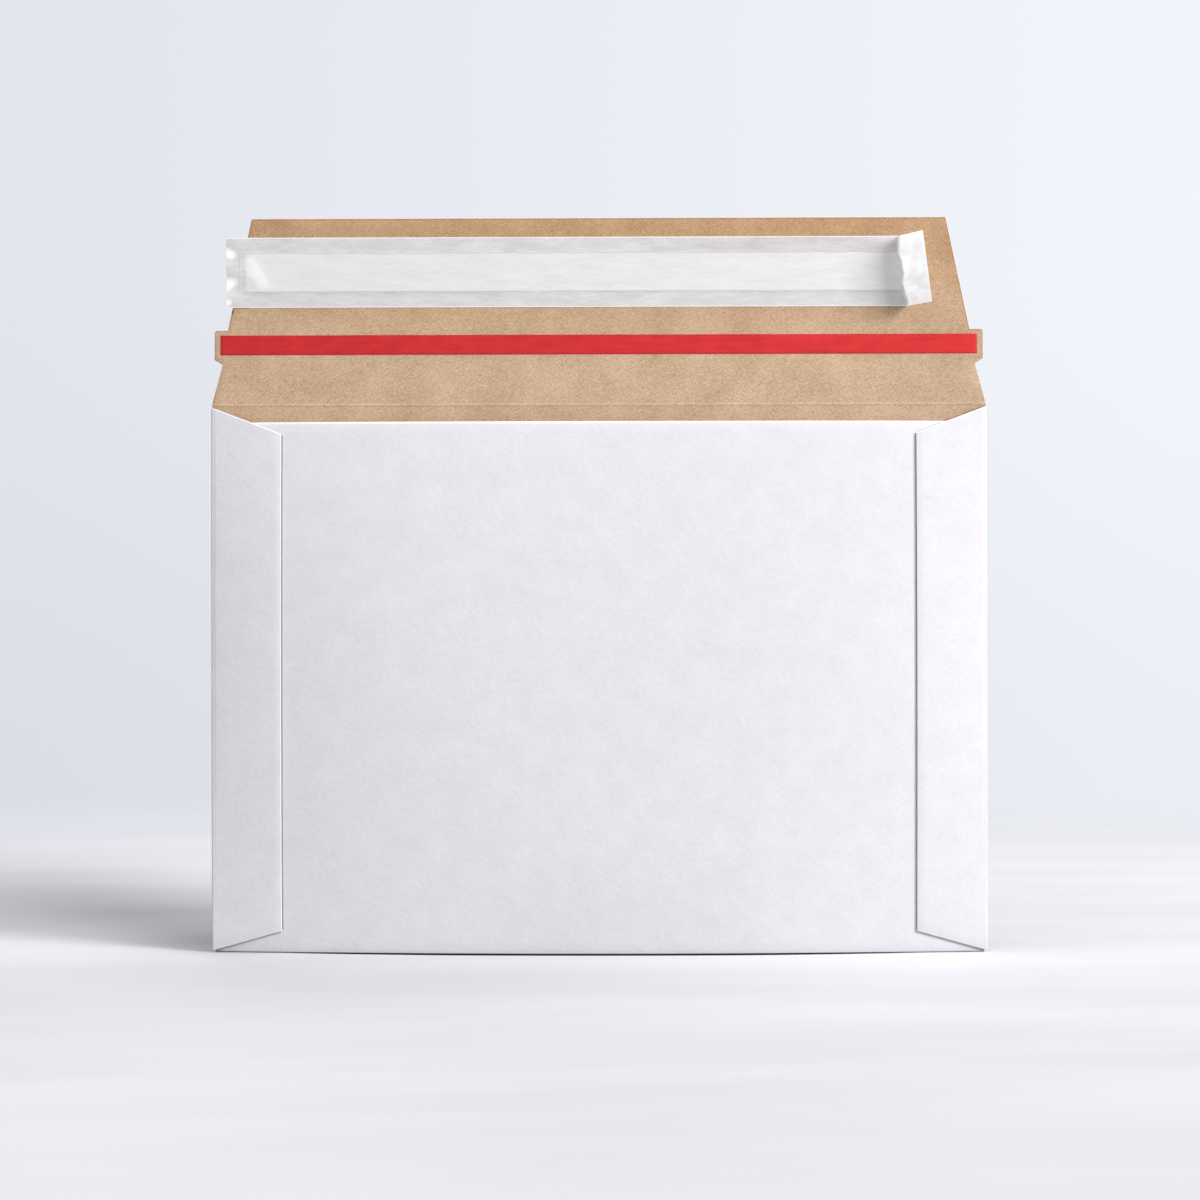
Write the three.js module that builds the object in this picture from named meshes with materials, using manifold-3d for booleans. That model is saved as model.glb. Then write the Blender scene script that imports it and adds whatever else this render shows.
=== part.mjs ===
// Calendar envelope: a flat mailer of white-lined solid board, brown kraft inside.
// Millimetres, +Z up. The front looks towards -Y, and the mailer stands on the bowed fold at its foot
// with its closure flap open, straight up in line with the back panel.
import * as THREE from "three";
import { mergeVertices } from "three/addons/utils/BufferGeometryUtils.js";
import Module from "manifold-3d";

const wasm = await Module();
wasm.setup();

// Board
const board = 0.6;
const layerGap = 0.3;
const seamGap = 0.4;

// Pocket
const width = 334;
const creaseHeight = 235.8;
const mouthDrop = 7.5;
const footBow = 11;
const footCornerSetBack = 3;
const mouthOpening = 5.2;
const bellyOpening = 4.6;
const frontSideInset = 1.5;

// Side glue flaps, folded from the back panel over the front panel
const sideFlapWidth = 30.6;
const sideFlapTopStart = 0.7;
const sideFlapTopDrop = 12.6;
const sideFlapFootStart = 1.4;
const sideFlapFootRise = 9.4;

// Glue lines under the side flaps
const glueThickness = 0.2;
const glueWidth = 12;
const glueInset = 7;
const glueEndMargin = 14;

// Crease between the back panel and the closure flap
const hingeGap = 0.3;
const creaseBead = 0.25;
const creaseReach = 1.2;

// Closure flap
const flapHeight = 80.8;
const flapTopInset = 17.2;
const flapCornerRadius = 1;

// Tear tab at each end of the tear tape
const tabTipInset = 1.2;
const tabLow = 19.7;
const tabHigh = 32.5;
const tabNotchLow = 17.7;
const tabNotchDepth = 0.9;
const tabCornerRadius = 1.2;

// Tear tape
const tapeWidth = 8.2;
const tapeLow = 22.1;
const tapeEndInset = 2.6;
const tapeThickness = 0.2;

// Adhesive strip
const adhesiveWidth = 16.2;
const adhesiveLow = 49.3;
const adhesiveLeftInset = 15;
const adhesiveRightInset = 41;
const adhesiveThickness = 0.2;

// Release liner, with its lifted pull end on the right
const linerWidth = 30.3;
const linerLow = 42.3;
const linerThickness = 0.15;
const linerLeftInset = 6.4;
const linerWave = 0.9;
const linerWaveCount = 3;
const liftRightInset = 35;
const liftSlant = 3.8;
const liftBendRadius = 4;
const liftAngle = THREE.MathUtils.degToRad(65);
const liftLength = 15.1;

// Sizes that follow from the ones above
const mouthHeight = creaseHeight - mouthDrop;
const halfWidth = width / 2;
const layerPitch = board + layerGap;
const footBend = layerPitch / 2;
const footRadius = footBend + board / 2;
const footArc = Math.PI * footBend;
const sideBend = (2 * board + layerGap + seamGap) / 2;
const sideArc = Math.PI * sideBend;
const backHalf = halfWidth - sideBend - board / 2;
const sideFlapFlat = sideFlapWidth - sideBend - board / 2;
const frontScale = (halfWidth - frontSideInset) / backHalf;
const innerFace = -board / 2;
const tabTip = halfWidth - tabTipInset;
const adhesiveStart = adhesiveLeftInset - halfWidth;
const adhesiveEnd = halfWidth - adhesiveRightInset;
const linerStart = linerLeftInset - halfWidth;
const liftStartLow = halfWidth - liftRightInset;
const liftStartHigh = liftStartLow - liftSlant;
const hingeForward = (layerPitch + mouthOpening) / 2;

// How far the back panel stands forward of the straight crease line. The foot is bowed: its middle is
// forward and its corners are set back, so that the mailer balances on it. The bow fades out upwards.
function backForward(x, z) {
  const across = x / halfWidth;
  const fade = 1 - z / creaseHeight;
  return fade * fade * (footBow * (1 - across * across) - footCornerSetBack);
}

// Clear space between the two panels: closed at the folds, open at the mouth, fullest in the belly.
function pocketOpening(x, z) {
  const across = x / halfWidth;
  const up = (z - footRadius) / (mouthHeight - footRadius);
  const towardsMouth = up * up * (3 - 2 * up);
  const belly = 4 * up * (1 - up);
  return (mouthOpening * towardsMouth + bellyOpening * belly) * (1 - across ** 4);
}

function frontForward(x, z) {
  return backForward(x, z) + layerPitch + pocketOpening(x, z);
}

function sideFlapForward(x, z) {
  return frontForward(x, z) + board + seamGap;
}

// The side flaps are cut with slanted ends: each step in from the fold shortens them at both ends.
function slantedHeight(z, inwards) {
  const foldLow = sideFlapFootStart;
  const foldHigh = creaseHeight - sideFlapTopStart;
  const share = inwards / sideFlapFlat;
  const low = foldLow + (sideFlapFootRise - foldLow) * share;
  const high = foldHigh - (sideFlapTopDrop - sideFlapTopStart) * share;
  const up = (z - foldLow) / (foldHigh - foldLow);
  return low + (high - low) * up;
}

// Folds the flat blank: across runs over the back panel and out onto the side flaps, and along runs
// up the back panel, or below zero round the foot fold and up the front panel.
function foldedBlank(across, along) {
  if (along < -footArc) {
    const z = footRadius - along - footArc;
    const x = across * frontScale;
    return new THREE.Vector3(x, -frontForward(x, z), z);
  }
  if (along < 0) {
    const angle = -along / footBend;
    const x = across * THREE.MathUtils.lerp(1, frontScale, angle / Math.PI);
    const y = -backForward(x, footRadius) - footBend * (1 - Math.cos(angle));
    return new THREE.Vector3(x, y, footRadius - footBend * Math.sin(angle));
  }
  const z = footRadius + along;
  const side = Math.sign(across);
  const beyond = Math.abs(across) - backHalf;
  if (beyond <= 0) {
    return new THREE.Vector3(across, -backForward(across, z), z);
  }
  if (beyond <= sideArc) {
    const angle = beyond / sideBend;
    const x = backHalf + sideBend * Math.sin(angle);
    const y = -backForward(backHalf, z) - sideBend * (1 - Math.cos(angle));
    return new THREE.Vector3(side * x, y, z);
  }
  const inwards = beyond - sideArc;
  const x = side * (backHalf - inwards);
  const height = slantedHeight(z, inwards);
  return new THREE.Vector3(x, -sideFlapForward(x, height), height);
}

// Evenly spaced values from one end to the other, both included.
function steps(from, to, count) {
  return Array.from({ length: count + 1 }, (_, i) => from + ((to - from) * i) / count);
}

// One closed sheet of board or paper, made by thickening a folded surface on both of its faces.
// hasCell leaves parts of the grid out, and the two offsets say how far each face lies from the middle.
function thickSheet({ acrossAt, alongAt, surface, innerOffset, outerOffset, hasCell = () => true }) {
  const nudge = 1e-3;
  const positions = [];
  const triangles = [];
  const numbers = new Map();

  function normalAt(across, along) {
    const right = surface(across + nudge, along).sub(surface(across - nudge, along));
    const up = surface(across, along + nudge).sub(surface(across, along - nudge));
    return right.cross(up).normalize();
  }

  function corner(i, j, inner) {
    const key = `${i} ${j} ${inner}`;
    if (!numbers.has(key)) {
      const across = acrossAt[i];
      const along = alongAt[j];
      const offset = inner ? innerOffset(along) : -outerOffset(along);
      const point = surface(across, along).addScaledVector(normalAt(across, along), offset);
      numbers.set(key, positions.length / 3);
      positions.push(point.x, point.y, point.z);
    }
    return numbers.get(key);
  }

  function quad(a, b, c, d) {
    triangles.push(a, b, c, a, c, d);
  }

  function filled(i, j) {
    const inGrid = i >= 0 && j >= 0 && i < acrossAt.length - 1 && j < alongAt.length - 1;
    return inGrid && hasCell((acrossAt[i] + acrossAt[i + 1]) / 2, (alongAt[j] + alongAt[j + 1]) / 2);
  }

  for (let i = 0; i < acrossAt.length - 1; i += 1) {
    for (let j = 0; j < alongAt.length - 1; j += 1) {
      if (!filled(i, j)) continue;
      const round = [[i, j], [i + 1, j], [i + 1, j + 1], [i, j + 1]];
      const neighbours = [[i, j - 1], [i + 1, j], [i, j + 1], [i - 1, j]];
      quad(...round.map(([p, q]) => corner(p, q, true)));
      quad(...round.map(([p, q]) => corner(p, q, false)).reverse());
      neighbours.forEach(([p, q], edge) => {
        if (filled(p, q)) return;
        const start = round[edge];
        const end = round[(edge + 1) % round.length];
        quad(corner(...end, true), corner(...start, true), corner(...start, false), corner(...end, false));
      });
    }
  }
  const geometry = new THREE.BufferGeometry();
  geometry.setAttribute("position", new THREE.Float32BufferAttribute(positions, 3));
  geometry.setIndex(triangles);
  geometry.computeVertexNormals();
  return geometry;
}

function toSolid(geometry) {
  const bare = geometry.clone();
  bare.deleteAttribute("normal");
  bare.deleteAttribute("uv");
  const merged = mergeVertices(bare);
  return new wasm.Manifold(new wasm.Mesh({
    numProp: 3,
    vertProperties: new Float32Array(merged.attributes.position.array),
    triVerts: new Uint32Array(merged.index.array),
  }));
}

function toGeometry(solid) {
  const { vertProperties, triVerts } = solid.getMesh();
  const geometry = new THREE.BufferGeometry();
  geometry.setAttribute("position", new THREE.Float32BufferAttribute(vertProperties, 3));
  geometry.setIndex(new THREE.Uint32BufferAttribute(triVerts, 1));
  geometry.computeVertexNormals();
  return geometry;
}

// A flat outline drawn in X and Z, given its thickness from back to front along -Y.
function extrudeForward(shape, thickness) {
  const options = { depth: thickness, bevelEnabled: false, curveSegments: 6 };
  return new THREE.ExtrudeGeometry(shape, options).rotateX(Math.PI / 2);
}

// Joins points with straight lines and rounds each corner whose point carries a radius.
function roundedOutline(points) {
  const cornerSteps = 5;
  const outline = points.flatMap((point, i) => {
    const here = new THREE.Vector2(point.x, point.z);
    if (!point.radius) return [here];
    const previous = points[(i + points.length - 1) % points.length];
    const next = points[(i + 1) % points.length];
    const start = new THREE.Vector2(previous.x, previous.z).sub(here).setLength(point.radius).add(here);
    const end = new THREE.Vector2(next.x, next.z).sub(here).setLength(point.radius).add(here);
    return new THREE.QuadraticBezierCurve(start, here, end).getPoints(cornerSteps);
  });
  return new THREE.Shape(outline);
}

function mesh(name, geometry, color, roughness) {
  const material = new THREE.MeshStandardMaterial({ color, roughness, metalness: 0 });
  const part = new THREE.Mesh(geometry, material);
  part.name = name;
  return part;
}

// Pocket: back panel, foot fold, front panel and both side flaps are one folded blank.
function pocketGeometry() {
  const sideZone = steps(backHalf - sideFlapFlat, backHalf, 5);
  const middleZone = steps(sideFlapFlat - backHalf, backHalf - sideFlapFlat, 16);
  const bendZone = steps(backHalf, backHalf + sideArc, 4);
  const flapZone = steps(backHalf + sideArc, backHalf + sideArc + sideFlapFlat, 5);
  const rightSide = [...sideZone.slice(1), ...bendZone.slice(1), ...flapZone.slice(1)];
  const acrossAt = [...rightSide.map((x) => -x).reverse(), ...middleZone, ...rightSide];

  const panelTop = creaseHeight - hingeGap / 2 - footRadius;
  const flapFoot = sideFlapFootStart - footRadius;
  const flapTop = creaseHeight - sideFlapTopStart - footRadius;
  const beadFoot = creaseHeight - creaseReach - footRadius;
  const frontTop = -footArc - (mouthHeight - footRadius);
  const alongAt = [
    ...steps(frontTop, -footArc, 16),
    ...steps(-footArc, 0, 4).slice(1),
    ...steps(flapFoot, beadFoot, 16),
    flapTop,
    panelTop,
  ];
  const bead = (along) => creaseBead * THREE.MathUtils.clamp((along - beadFoot) / (panelTop - beadFoot), 0, 1);
  return thickSheet({
    acrossAt,
    alongAt,
    surface: foldedBlank,
    innerOffset: (along) => board / 2 + bead(along),
    outerOffset: (along) => board / 2 - bead(along) / 2,
    hasCell: (across, along) => Math.abs(across) < backHalf || (along > flapFoot && along < flapTop),
  });
}

// Glue line: a thin flat bead of glue between the front panel and a side flap.
function glueGeometry(side) {
  const inner = side * (backHalf - glueInset - glueWidth);
  const outer = side * (backHalf - glueInset);
  const halfGlue = glueThickness / 2;
  return thickSheet({
    acrossAt: steps(Math.min(inner, outer), Math.max(inner, outer), 4),
    alongAt: steps(glueEndMargin, mouthHeight - glueEndMargin, 16),
    surface: (x, z) => new THREE.Vector3(x, -frontForward(x, z) - (board + seamGap) / 2, z),
    innerOffset: () => halfGlue,
    outerOffset: () => halfGlue,
  });
}

// Closure flap: the outline in X and Z meets the cross-section with the half bead of the crease.
function flapGeometry() {
  const flapFoot = hingeGap / 2;
  const taper = flapTopInset / flapHeight;
  const edgeAt = (height) => halfWidth - taper * height;
  const rightEdge = [
    { x: edgeAt(flapFoot), z: flapFoot },
    { x: edgeAt(tabNotchLow) - tabNotchDepth, z: tabNotchLow },
    { x: tabTip, z: tabLow },
    { x: tabTip, z: tabHigh, radius: tabCornerRadius },
    { x: edgeAt(tabHigh), z: tabHigh },
    { x: edgeAt(flapHeight), z: flapHeight, radius: flapCornerRadius },
  ];
  const leftEdge = rightEdge.map((point) => ({ ...point, x: -point.x })).reverse();
  const outline = extrudeForward(roundedOutline([...rightEdge, ...leftEdge]), 4 * board);
  outline.translate(0, 2 * board, 0);

  const section = new THREE.Shape([
    new THREE.Vector2(board / 2 - creaseBead / 2, flapFoot),
    new THREE.Vector2(board / 2, creaseReach),
    new THREE.Vector2(board / 2, 2 * flapHeight),
    new THREE.Vector2(innerFace, 2 * flapHeight),
    new THREE.Vector2(innerFace, creaseReach),
    new THREE.Vector2(innerFace - creaseBead, flapFoot),
  ]);
  const bar = new THREE.ExtrudeGeometry(section, { depth: 2 * width, bevelEnabled: false });
  bar.translate(0, 0, -width);
  bar.applyMatrix4(new THREE.Matrix4().set(0, 0, 1, 0, 1, 0, 0, 0, 0, 1, 0, 0, 0, 0, 0, 1));
  return toGeometry(toSolid(outline).intersect(toSolid(bar)));
}

// Adhesive strip: a flat bead of glue with rounded ends.
function adhesiveGeometry() {
  const high = adhesiveLow + adhesiveWidth;
  const cornerRadius = adhesiveWidth / 4;
  const outline = roundedOutline([
    { x: adhesiveStart, z: adhesiveLow, radius: cornerRadius },
    { x: adhesiveEnd, z: adhesiveLow, radius: cornerRadius },
    { x: adhesiveEnd, z: high, radius: cornerRadius },
    { x: adhesiveStart, z: high, radius: cornerRadius },
  ]);
  return extrudeForward(outline, adhesiveThickness).translate(0, innerFace, 0);
}

// Release liner: a paper strip with a wavy torn start on the left. On the right it lifts off in a bend
// and stands forward, and the line where it starts to lift is slanted.
function linerGeometry() {
  const bendLength = liftBendRadius * liftAngle;
  const flatLength = liftStartLow - linerStart;
  const middle = innerFace - adhesiveThickness - linerThickness / 2;
  const waveReach = 12;

  function surface(along, up) {
    const share = up / linerWidth;
    const liftStart = THREE.MathUtils.lerp(liftStartLow, liftStartHigh, share);
    const z = linerLow + up;
    if (along <= flatLength) {
      const fade = Math.max(0, 1 - along / waveReach);
      const wave = linerWave * fade * Math.sin(2 * Math.PI * linerWaveCount * share);
      return new THREE.Vector3(linerStart + (along * (liftStart - linerStart)) / flatLength + wave, middle, z);
    }
    const angle = Math.min((along - flatLength) / liftBendRadius, liftAngle);
    const straight = Math.max(0, along - flatLength - bendLength);
    const x = liftStart + liftBendRadius * Math.sin(angle) + straight * Math.cos(angle);
    const forward = liftBendRadius * (1 - Math.cos(angle)) + straight * Math.sin(angle);
    return new THREE.Vector3(x, middle - forward, z);
  }

  const alongAt = [
    0,
    waveReach,
    ...steps(waveReach, flatLength, 4).slice(1),
    ...steps(flatLength, flatLength + bendLength, 5).slice(1),
    ...steps(flatLength + bendLength, flatLength + bendLength + liftLength, 2).slice(1),
  ];
  return thickSheet({
    acrossAt: alongAt,
    alongAt: steps(0, linerWidth, 4 * linerWaveCount),
    surface,
    innerOffset: () => linerThickness / 2,
    outerOffset: () => linerThickness / 2,
  });
}

// Tear tape: a thin film strip from tab to tab.
function tapeGeometry() {
  const tapeLength = 2 * (tabTip - tapeEndInset);
  const tape = new THREE.BoxGeometry(tapeLength, tapeThickness, tapeWidth);
  return tape.translate(0, innerFace - tapeThickness / 2, tapeLow + tapeWidth / 2);
}

const boardWhite = 0xf1f0ef;
const kraftBrown = 0xc9a27c;
const glueAmber = 0xd9c79a;
const adhesiveClear = 0xe8e4da;
const linerWhite = 0xeceaea;
const tapeRed = 0xd2323a;

const pocket = new THREE.Group();
pocket.add(mesh("board_pocket", pocketGeometry(), boardWhite, 0.75));
pocket.add(mesh("glue_seam_left", glueGeometry(-1), glueAmber, 0.4));
pocket.add(mesh("glue_seam_right", glueGeometry(1), glueAmber, 0.4));

// The flap group turns about its own X axis, and closes forward over the pocket. The board bends round
// the open mouth, so that axis lies in front of the crease, half way across the mouth.
const flapPieces = new THREE.Group();
flapPieces.position.y = hingeForward;
flapPieces.add(mesh("closure_flap", flapGeometry(), kraftBrown, 0.85));
flapPieces.add(mesh("tear_tape", tapeGeometry(), tapeRed, 0.3));
flapPieces.add(mesh("adhesive_strip", adhesiveGeometry(), adhesiveClear, 0.25));
flapPieces.add(mesh("release_liner", linerGeometry(), linerWhite, 0.45));
const flap = new THREE.Group();
flap.position.set(0, -hingeForward, creaseHeight);
flap.add(flapPieces);

// The origin is the middle of the foot, under the middle of the whole depth.
const group = new THREE.Group();
group.add(pocket, flap);
const bounds = new THREE.Box3().setFromObject(group);
const middle = bounds.getCenter(new THREE.Vector3());
group.position.set(-middle.x, -middle.y, -bounds.min.z);

export default group;
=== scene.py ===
# %% [markdown]
# # A mailing envelope of solid board, dressed in Blender
# The envelope stands on the fold at its foot with its closure flap open. It is one sheet of board, white
# outside and brown kraft inside, with a red tear tape and a paper release liner on the flap. Each step
# below builds one of these pieces with Blender's own operators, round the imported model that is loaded
# here as a fixed frame.

import math

import bpy
from mathutils import Matrix, Vector, noise


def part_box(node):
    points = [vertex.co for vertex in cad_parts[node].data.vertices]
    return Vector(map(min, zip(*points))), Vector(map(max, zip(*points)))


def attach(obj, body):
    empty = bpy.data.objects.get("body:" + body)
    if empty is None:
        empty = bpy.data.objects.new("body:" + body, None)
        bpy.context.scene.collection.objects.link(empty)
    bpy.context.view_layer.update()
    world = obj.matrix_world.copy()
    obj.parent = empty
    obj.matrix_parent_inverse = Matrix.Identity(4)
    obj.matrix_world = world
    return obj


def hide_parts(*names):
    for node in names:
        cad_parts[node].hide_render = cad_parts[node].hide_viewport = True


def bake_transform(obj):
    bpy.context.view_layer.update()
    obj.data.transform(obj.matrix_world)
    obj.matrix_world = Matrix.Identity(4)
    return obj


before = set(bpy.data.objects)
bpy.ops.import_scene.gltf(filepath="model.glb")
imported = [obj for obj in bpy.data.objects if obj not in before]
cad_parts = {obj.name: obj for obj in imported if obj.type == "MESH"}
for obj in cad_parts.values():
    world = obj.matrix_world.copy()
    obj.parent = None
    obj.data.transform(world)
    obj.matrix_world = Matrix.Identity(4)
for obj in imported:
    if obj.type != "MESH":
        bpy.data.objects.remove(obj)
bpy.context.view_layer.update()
MM = 0.001

# %% [markdown]
# ## The camera
# A photograph of a flat object is taken with a long lens, so that its upright edges stay upright. The
# camera stands a little over a metre in front, low enough to look slightly up at the closure flap. Its
# heading, tilt and roll are turns about three axes, and multiplying their matrices in this order gives
# the one turn that the camera needs.

# %% Place the camera
CAMERA_PLACE = Vector((0.01164, -1.11396, 0.1375))
HEADING, TILT, ROLL = (math.radians(angle) for angle in (0.567, 0.721, -0.092))
LENS, SENSOR_WIDTH = 78, 36

camera_data = bpy.data.cameras.new("photo_camera")
camera_data.lens = LENS
camera_data.sensor_width = SENSOR_WIDTH
camera_data.clip_start = 0.05
camera = bpy.data.objects.new("photo_camera", camera_data)
turn = (
    Matrix.Rotation(HEADING, 3, "Z")
    @ Matrix.Rotation(math.radians(90) + TILT, 3, "X")
    @ Matrix.Rotation(ROLL, 3, "Z")
)
camera.location = CAMERA_PLACE
camera.rotation_euler = turn.to_euler()
bpy.context.scene.collection.objects.link(camera)
bpy.context.scene.camera = camera
print("camera at", tuple(round(value, 4) for value in camera.location))

# %% [markdown]
# ## Working by hand in code
# An operator acts on whatever is selected, and loading the frame leaves its nodes selected. These helpers
# keep the habits of a tidy desk: put everything down, take up one object, and choose faces or edges by
# where they are.

# %% Helpers for selecting and finishing
def put_down():
    """Leaves edit mode and deselects every object."""
    if bpy.context.object and bpy.context.object.mode != "OBJECT":
        bpy.ops.object.mode_set(mode="OBJECT")
    bpy.ops.object.select_all(action="DESELECT")


def take(piece):
    """Makes one object the only selected one, and the active one."""
    put_down()
    piece.select_set(True)
    bpy.context.view_layer.objects.active = piece


def choose(piece, kind, wanted):
    """Enters edit mode with only the vertices, edges or faces selected that pass the test."""
    take(piece)
    mesh = piece.data
    for element in (*mesh.vertices, *mesh.edges, *mesh.polygons):
        element.select = False
    elements = {"VERT": mesh.vertices, "EDGE": mesh.edges, "FACE": mesh.polygons}[kind]
    chosen = [element for element in elements if wanted(element)]
    for element in chosen:
        element.select = True
    bpy.ops.object.mode_set(mode="EDIT")
    bpy.ops.mesh.select_mode(type=kind)
    return len(chosen)


def finish_with(piece, kind, **settings):
    """Adds a modifier, sets its options and applies it."""
    take(piece)
    modifier = piece.modifiers.new(kind.title(), kind)
    for name, value in settings.items():
        setattr(modifier, name, value)
    bpy.ops.object.modifier_apply(modifier=modifier.name)


def soften_edges(piece, width, segments):
    """Bevels the edges where two faces meet at more than 60 degrees."""
    limits = {"limit_method": "ANGLE", "angle_limit": math.radians(60)}
    finish_with(piece, "BEVEL", width=width, segments=segments, **limits)


def smooth(piece, degrees=35):
    """Shades the piece smooth, apart from edges that are sharper than this."""
    take(piece)
    bpy.ops.object.shade_smooth_by_angle(angle=math.radians(degrees))


# %% Helpers for sheets that start flat
def steps(start, end, count):
    """Evenly spaced values from start to end, both included."""
    return [start + (end - start) * i / count for i in range(count + 1)]


def lines_through(start, *stretches):
    """Grid lines from start on. Each stretch says where it ends and into how many steps it is cut."""
    lines = [start]
    for end, count in stretches:
        lines += steps(lines[-1], end, count)[1:]
    return lines


def grid(name, columns, rows):
    """A flat grid in X and Y with its lines at the places that are listed."""
    put_down()
    bpy.ops.mesh.primitive_grid_add(
        x_subdivisions=len(columns) - 1, y_subdivisions=len(rows) - 1, size=2
    )
    piece = bpy.context.object
    piece.name = name
    piece.data.name = name
    for vertex in piece.data.vertices:
        column = round((vertex.co.x + 1) / 2 * (len(columns) - 1))
        row = round((vertex.co.y + 1) / 2 * (len(rows) - 1))
        vertex.co = (columns[column], rows[row], 0)
    return piece


def keep_flat_places(piece):
    """Stores where each point lies on the flat sheet, in metres, as the piece's UV map."""
    mesh = piece.data
    layer = mesh.uv_layers.active or mesh.uv_layers.new()
    layer.name = "sheet"
    for loop in mesh.loops:
        layer.data[loop.index].uv = mesh.vertices[loop.vertex_index].co.xy


def move_points(piece, place_of):
    """Moves each point of a flat sheet to the place that a function gives for it."""
    for vertex in piece.data.vertices:
        vertex.co = place_of(vertex.co.x, vertex.co.y)
    piece.data.update()


# %% [markdown]
# ## The sizes of the blank
# The board is cut flat and then folded, so its sizes are those of a flat blank: how far each panel
# reaches, where the folds run and how tight they are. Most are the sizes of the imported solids, in metres
# here. A few differ by less than a millimetre, to follow the real edges more closely.

# %% Name the sizes
BOARD, LAYER_GAP, SEAM_GAP = 0.6 * MM, 0.3 * MM, 0.4 * MM
WIDTH, CREASE_HEIGHT, MOUTH_DROP = 334 * MM, 235.8 * MM, 7.5 * MM
FOOT_BOW, FOOT_CORNER_SET_BACK = 11 * MM, 3 * MM
MOUTH_OPENING, BELLY_OPENING, FRONT_SIDE_INSET = 5.2 * MM, 4.6 * MM, 1.5 * MM
SIDE_FLAP_WIDTH = 30.6 * MM
SIDE_FLAP_TOP_START, SIDE_FLAP_TOP_DROP = 1.4 * MM, 12.6 * MM
SIDE_FLAP_FOOT_START, SIDE_FLAP_FOOT_RISE = 1.0 * MM, 9.4 * MM
FLAP_HEIGHT, FLAP_TOP_INSET, FLAP_CORNER = 80.8 * MM, 17.2 * MM, 0.6 * MM
TAB_TIP_INSET, TAB_LOW, TAB_HIGH, TAB_CORNER = 1.2 * MM, 19.7 * MM, 32.5 * MM, 1.2 * MM
TAB_NOTCH_LOW, TAB_NOTCH_DEPTH = 17.7 * MM, 0.9 * MM

# %% Work out the other sizes from them
MOUTH_HEIGHT = CREASE_HEIGHT - MOUTH_DROP
HALF_WIDTH = WIDTH / 2
TAB_TIP = HALF_WIDTH - TAB_TIP_INSET
LAYER_PITCH = BOARD + LAYER_GAP
FOOT_BEND = LAYER_PITCH / 2
FOOT_RADIUS = FOOT_BEND + BOARD / 2
FOOT_ARC = math.pi * FOOT_BEND
SIDE_BEND = (2 * BOARD + LAYER_GAP + SEAM_GAP) / 2
SIDE_ARC = math.pi * SIDE_BEND
BACK_HALF = HALF_WIDTH - SIDE_BEND - BOARD / 2
SIDE_FLAP_FLAT = SIDE_FLAP_WIDTH - SIDE_BEND - BOARD / 2
BETWEEN_FLAPS = BACK_HALF - SIDE_FLAP_FLAT
FRONT_SCALE = (HALF_WIDTH - FRONT_SIDE_INSET) / BACK_HALF

# Places on the flat blank: across it from its middle, and along it from the end of the foot fold
SIDE_FOLD_END = BACK_HALF + SIDE_ARC
SIDE_FLAP_EDGE = SIDE_FOLD_END + SIDE_FLAP_FLAT
SIDE_FOLD_LOW, SIDE_FOLD_HIGH = SIDE_FLAP_FOOT_START, CREASE_HEIGHT - SIDE_FLAP_TOP_START
MOUTH_ALONG = FOOT_RADIUS - MOUTH_HEIGHT - FOOT_ARC
CREASE_ALONG = CREASE_HEIGHT - FOOT_RADIUS

CREASE_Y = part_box("closure_flap")[1].y - BOARD / 2
FLAP_FACE_Y = CREASE_Y - BOARD / 2
print("crease plane at y =", round(CREASE_Y / MM, 3), "mm")

# %% [markdown]
# ## How the board folds
# Paper bends but doesn't stretch, so the folded shape is worked out for each point of the flat blank. The
# foot is bowed, which lets the envelope stand. The front panel lies one layer in front of the back panel
# and bellies out a little, and the side flaps come round both edges and lie on the front panel.

# %% Work out how far the panels stand forward
RIPPLE_DEPTH, RIPPLE_LENGTH = 0.22 * MM, 62 * MM


def back_forward(x, z):
    """How far the back panel stands in front of the crease plane."""
    across = x / HALF_WIDTH
    fade = 1 - z / CREASE_HEIGHT
    return fade * fade * (FOOT_BOW * (1 - across * across) - FOOT_CORNER_SET_BACK)


def pocket_opening(x, z):
    """How far apart the two panels are, beyond the one layer."""
    across = x / HALF_WIDTH
    up = (z - FOOT_RADIUS) / (MOUTH_HEIGHT - FOOT_RADIUS)
    towards_mouth = up * up * (3 - 2 * up)
    belly = 4 * up * (1 - up)
    return (MOUTH_OPENING * towards_mouth + BELLY_OPENING * belly) * (1 - across**4)


def ripple(x, z):
    """The slight unevenness of a board that has been handled, which dies out at the folds."""
    across = x / HALF_WIDTH
    up = min(max(z / CREASE_HEIGHT, 0), 1)
    calm = (1 - across**4) * min(1, 6 * up)
    return RIPPLE_DEPTH * calm * noise.noise(Vector((x, z, 0.1)) / RIPPLE_LENGTH)


def front_forward(x, z):
    """How far the front panel stands in front of the crease plane."""
    return back_forward(x, z) + LAYER_PITCH + pocket_opening(x, z) + ripple(x, z)


print("the foot's middle stands", round(back_forward(0, 0) / MM, 1), "mm in front of the crease plane")

# %% Work out the side flaps and the crease
LEFT_SPRING, RIGHT_SPRING = 0.9 * MM, 0.1 * MM
FOLD_SQUARENESS = 0.5
RIDGE_HEIGHT, RIDGE_REACH = 0.1 * MM, 0.75 * MM


def slanted_height(z, inwards):
    """The side flaps are cut with slanted ends, so each step in from the fold shortens them."""
    share = inwards / SIDE_FLAP_FLAT
    low = SIDE_FOLD_LOW + (SIDE_FLAP_FOOT_RISE - SIDE_FOLD_LOW) * share
    high = SIDE_FOLD_HIGH - (SIDE_FLAP_TOP_DROP - SIDE_FLAP_TOP_START) * share
    up = (z - SIDE_FOLD_LOW) / (SIDE_FOLD_HIGH - SIDE_FOLD_LOW)
    return low + (high - low) * up


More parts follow.
